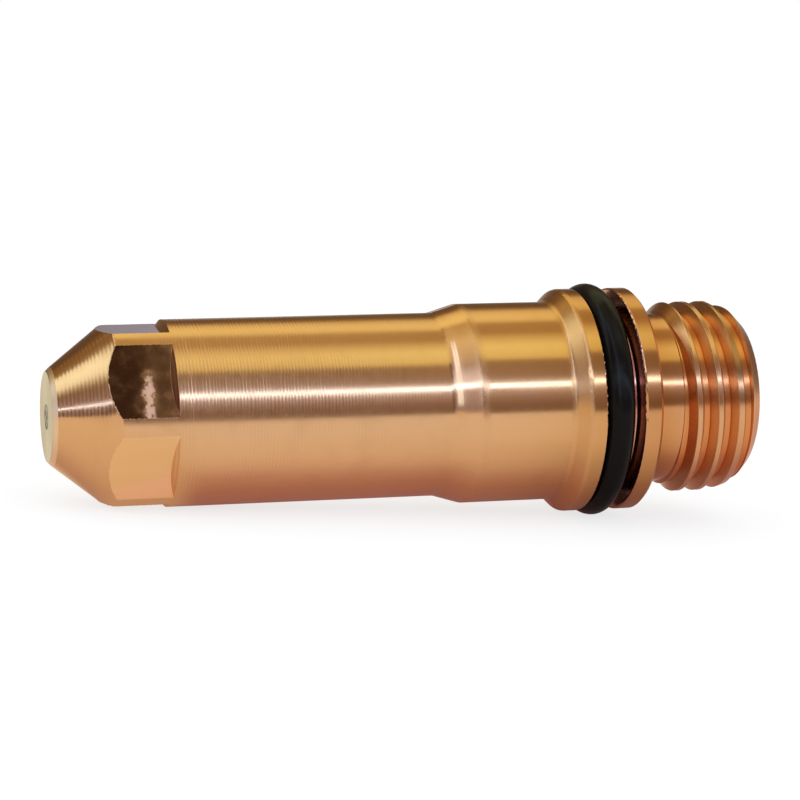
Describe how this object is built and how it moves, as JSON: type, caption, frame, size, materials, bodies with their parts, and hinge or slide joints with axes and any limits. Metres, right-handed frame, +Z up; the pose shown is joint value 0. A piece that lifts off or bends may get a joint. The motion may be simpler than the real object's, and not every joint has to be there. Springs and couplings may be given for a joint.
{
  "type": "plasma torch electrode",
  "caption": "Turned copper plasma torch electrode with a cone nose, wrench flats, a flange with a rubber sealing ring and a threaded, hollow rear end.",
  "frame": {"origin": "middle of the footprint, on the surface that the electrode lies on", "axes": "+X from the nose to the threaded end along the footprint, +Z up; the electrode's own axis climbs to the rear by 3.4 degrees, because it lies on its sealing ring and on the barrel behind the wrench flats"},
  "size_m": [0.0454, 0.015, 0.0149],
  "materials": {
    "copper": "turned, bright",
    "emitter": "faced, slightly rough",
    "seal_rubber": "satin"
  },
  "bodies": {
    "root": {"electrode_body": "copper", "emitter_insert": "emitter", "o_ring": "seal_rubber"}
  },
  "joints": []
}
